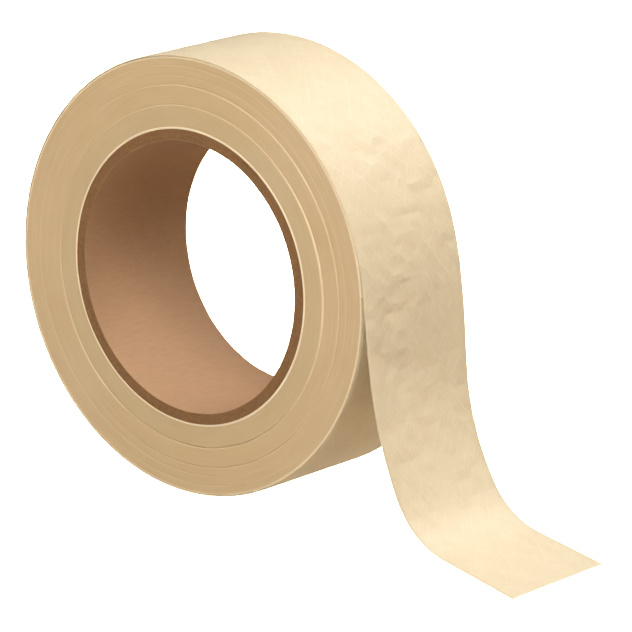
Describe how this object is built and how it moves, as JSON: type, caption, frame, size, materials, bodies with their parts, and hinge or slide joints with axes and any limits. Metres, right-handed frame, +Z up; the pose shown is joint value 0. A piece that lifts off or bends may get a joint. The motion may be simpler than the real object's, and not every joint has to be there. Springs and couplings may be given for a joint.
{
  "type": "masking tape roll",
  "caption": "Roll of crepe masking tape wound on a spiral-wound cardboard core, with a short free end that peels off the roll and hangs down in a curve",
  "frame": {"origin": "centre of the core's bore, half way along it", "axes": "+Y runs along the core, +X points to the side where the free end leaves the roll, +Z is up"},
  "size_m": [0.1742, 0.0426, 0.1313],
  "materials": {
    "core_board": "matt brown kraft board",
    "tape_edges": "matt cut edges of wound crepe paper tape",
    "tape_face": "matt cream crepe paper with a faint sheen"
  },
  "bodies": {
    "roll": {"core_ply_1": "core_board", "core_ply_2": "core_board", "core_ply_3": "core_board", "core_ply_4": "core_board", "core_ply_5": "core_board", "core_ply_6": "core_board", "core_ply_7": "core_board", "first_laps": "tape_edges", "inner_laps": "tape_edges", "middle_laps": "tape_edges", "outer_laps": "tape_edges"},
    "free_turn": {"top_lap": "tape_face"},
    "free_end": {"tail": "tape_face"}
  },
  "joints": [
    {"name": "unwind", "type": "hinge", "parent": "roll", "child": "free_turn", "pos_m": [0, 0, 0], "axis": [0, -1, 0], "continuous": true},
    {"name": "tail_lift", "type": "hinge", "parent": "free_turn", "child": "free_end", "pos_m": [0.06006, 0, 0.01277], "axis": [0, -1, 0], "range_deg": [0, 90]}
  ]
}
